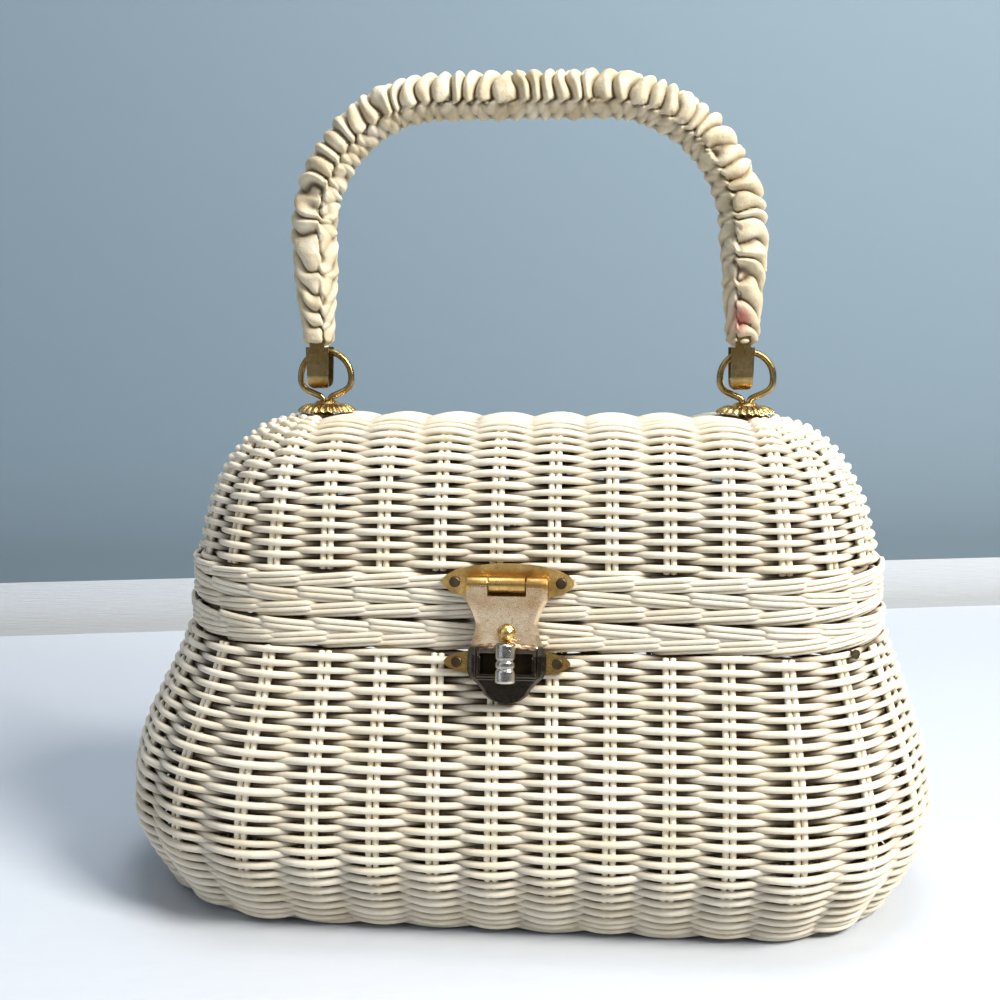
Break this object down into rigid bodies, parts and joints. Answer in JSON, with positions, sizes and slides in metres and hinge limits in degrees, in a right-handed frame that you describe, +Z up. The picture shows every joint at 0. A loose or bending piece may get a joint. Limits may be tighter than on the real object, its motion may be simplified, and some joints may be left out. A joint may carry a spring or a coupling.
{
  "type": "basket box bag",
  "caption": "Hinged wicker box bag with a flared woven basket, domed woven lid, turn-lock clasp and ruched swing handle on wire rings.",
  "frame": {"origin": "middle of the base, on the surface that the bag stands on", "axes": "+Z up, -Y out of the front where the clasp is, +X to the right seen from the front"},
  "size_m": [0.2798, 0.1338, 0.279],
  "materials": {
    "painted_reed": "cream painted round reed, satin",
    "border_reed": "cream painted round reed, satin",
    "brass": "lacquered, tarnished",
    "polished_brass": "polished pale brass, scratched",
    "nickel": "polished nickel plate",
    "dark_rivet": "tarnished",
    "cream_leather": "ruched, satin",
    "core_wood": "plain cane core"
  },
  "bodies": {
    "basket": {"basket_wall": "painted_reed", "basket_base": "painted_reed", "basket_border": "border_reed", "border_nail": "dark_rivet", "catch_plate": "brass", "catch_rivet_left": "dark_rivet", "catch_rivet_right": "dark_rivet", "hinge_lower_left": "brass", "hinge_pin_left": "brass", "hinge_rivet_lower_left_inner": "dark_rivet", "hinge_rivet_lower_left_outer": "dark_rivet", "hinge_lower_right": "brass", "hinge_pin_right": "brass", "hinge_rivet_lower_right_inner": "dark_rivet", "hinge_rivet_lower_right_outer": "dark_rivet"},
    "lid": {"lid_crown": "painted_reed", "lid_border": "border_reed", "hasp_plate": "brass", "hasp_pin": "brass", "hasp_plate_rivet_left": "dark_rivet", "hasp_plate_rivet_right": "dark_rivet", "rosette_left": "brass", "rosette_right": "brass", "handle_ring_left": "brass", "handle_ring_right": "brass", "ring_washer_left": "brass", "ring_washer_right": "brass", "hinge_upper_left": "brass", "hinge_rivet_upper_left_inner": "dark_rivet", "hinge_rivet_upper_left_outer": "dark_rivet", "hinge_upper_right": "brass", "hinge_rivet_upper_right_inner": "dark_rivet", "hinge_rivet_upper_right_outer": "dark_rivet"},
    "hasp": {"hasp": "polished_brass", "hasp_stud": "brass"},
    "knob": {"turn_knob": "nickel"},
    "handle": {"handle_core": "core_wood", "handle_sleeve": "cream_leather", "handle_strap_left": "brass", "handle_strap_right": "brass"}
  },
  "joints": [
    {"name": "lid_open", "type": "hinge", "parent": "basket", "child": "lid", "pos_m": [0, 0.0513, 0.1015], "axis": [-1, 0, 0], "range_deg": [0, 105]},
    {"name": "hasp_swing", "type": "hinge", "parent": "lid", "child": "hasp", "pos_m": [-0.005, -0.0518, 0.1149], "axis": [-1, 0, 0], "range_deg": [0, 160]},
    {"name": "knob_turn", "type": "hinge", "parent": "basket", "child": "knob", "pos_m": [-0.005, -0.05485, 0.0907], "axis": [0, -0.9703, 0.2419], "range_deg": [0, 90]},
    {"name": "handle_swing", "type": "hinge", "parent": "lid", "child": "handle", "pos_m": [0, 0, 0.186], "axis": [1, 0, 0], "range_deg": [-90, 90]}
  ]
}
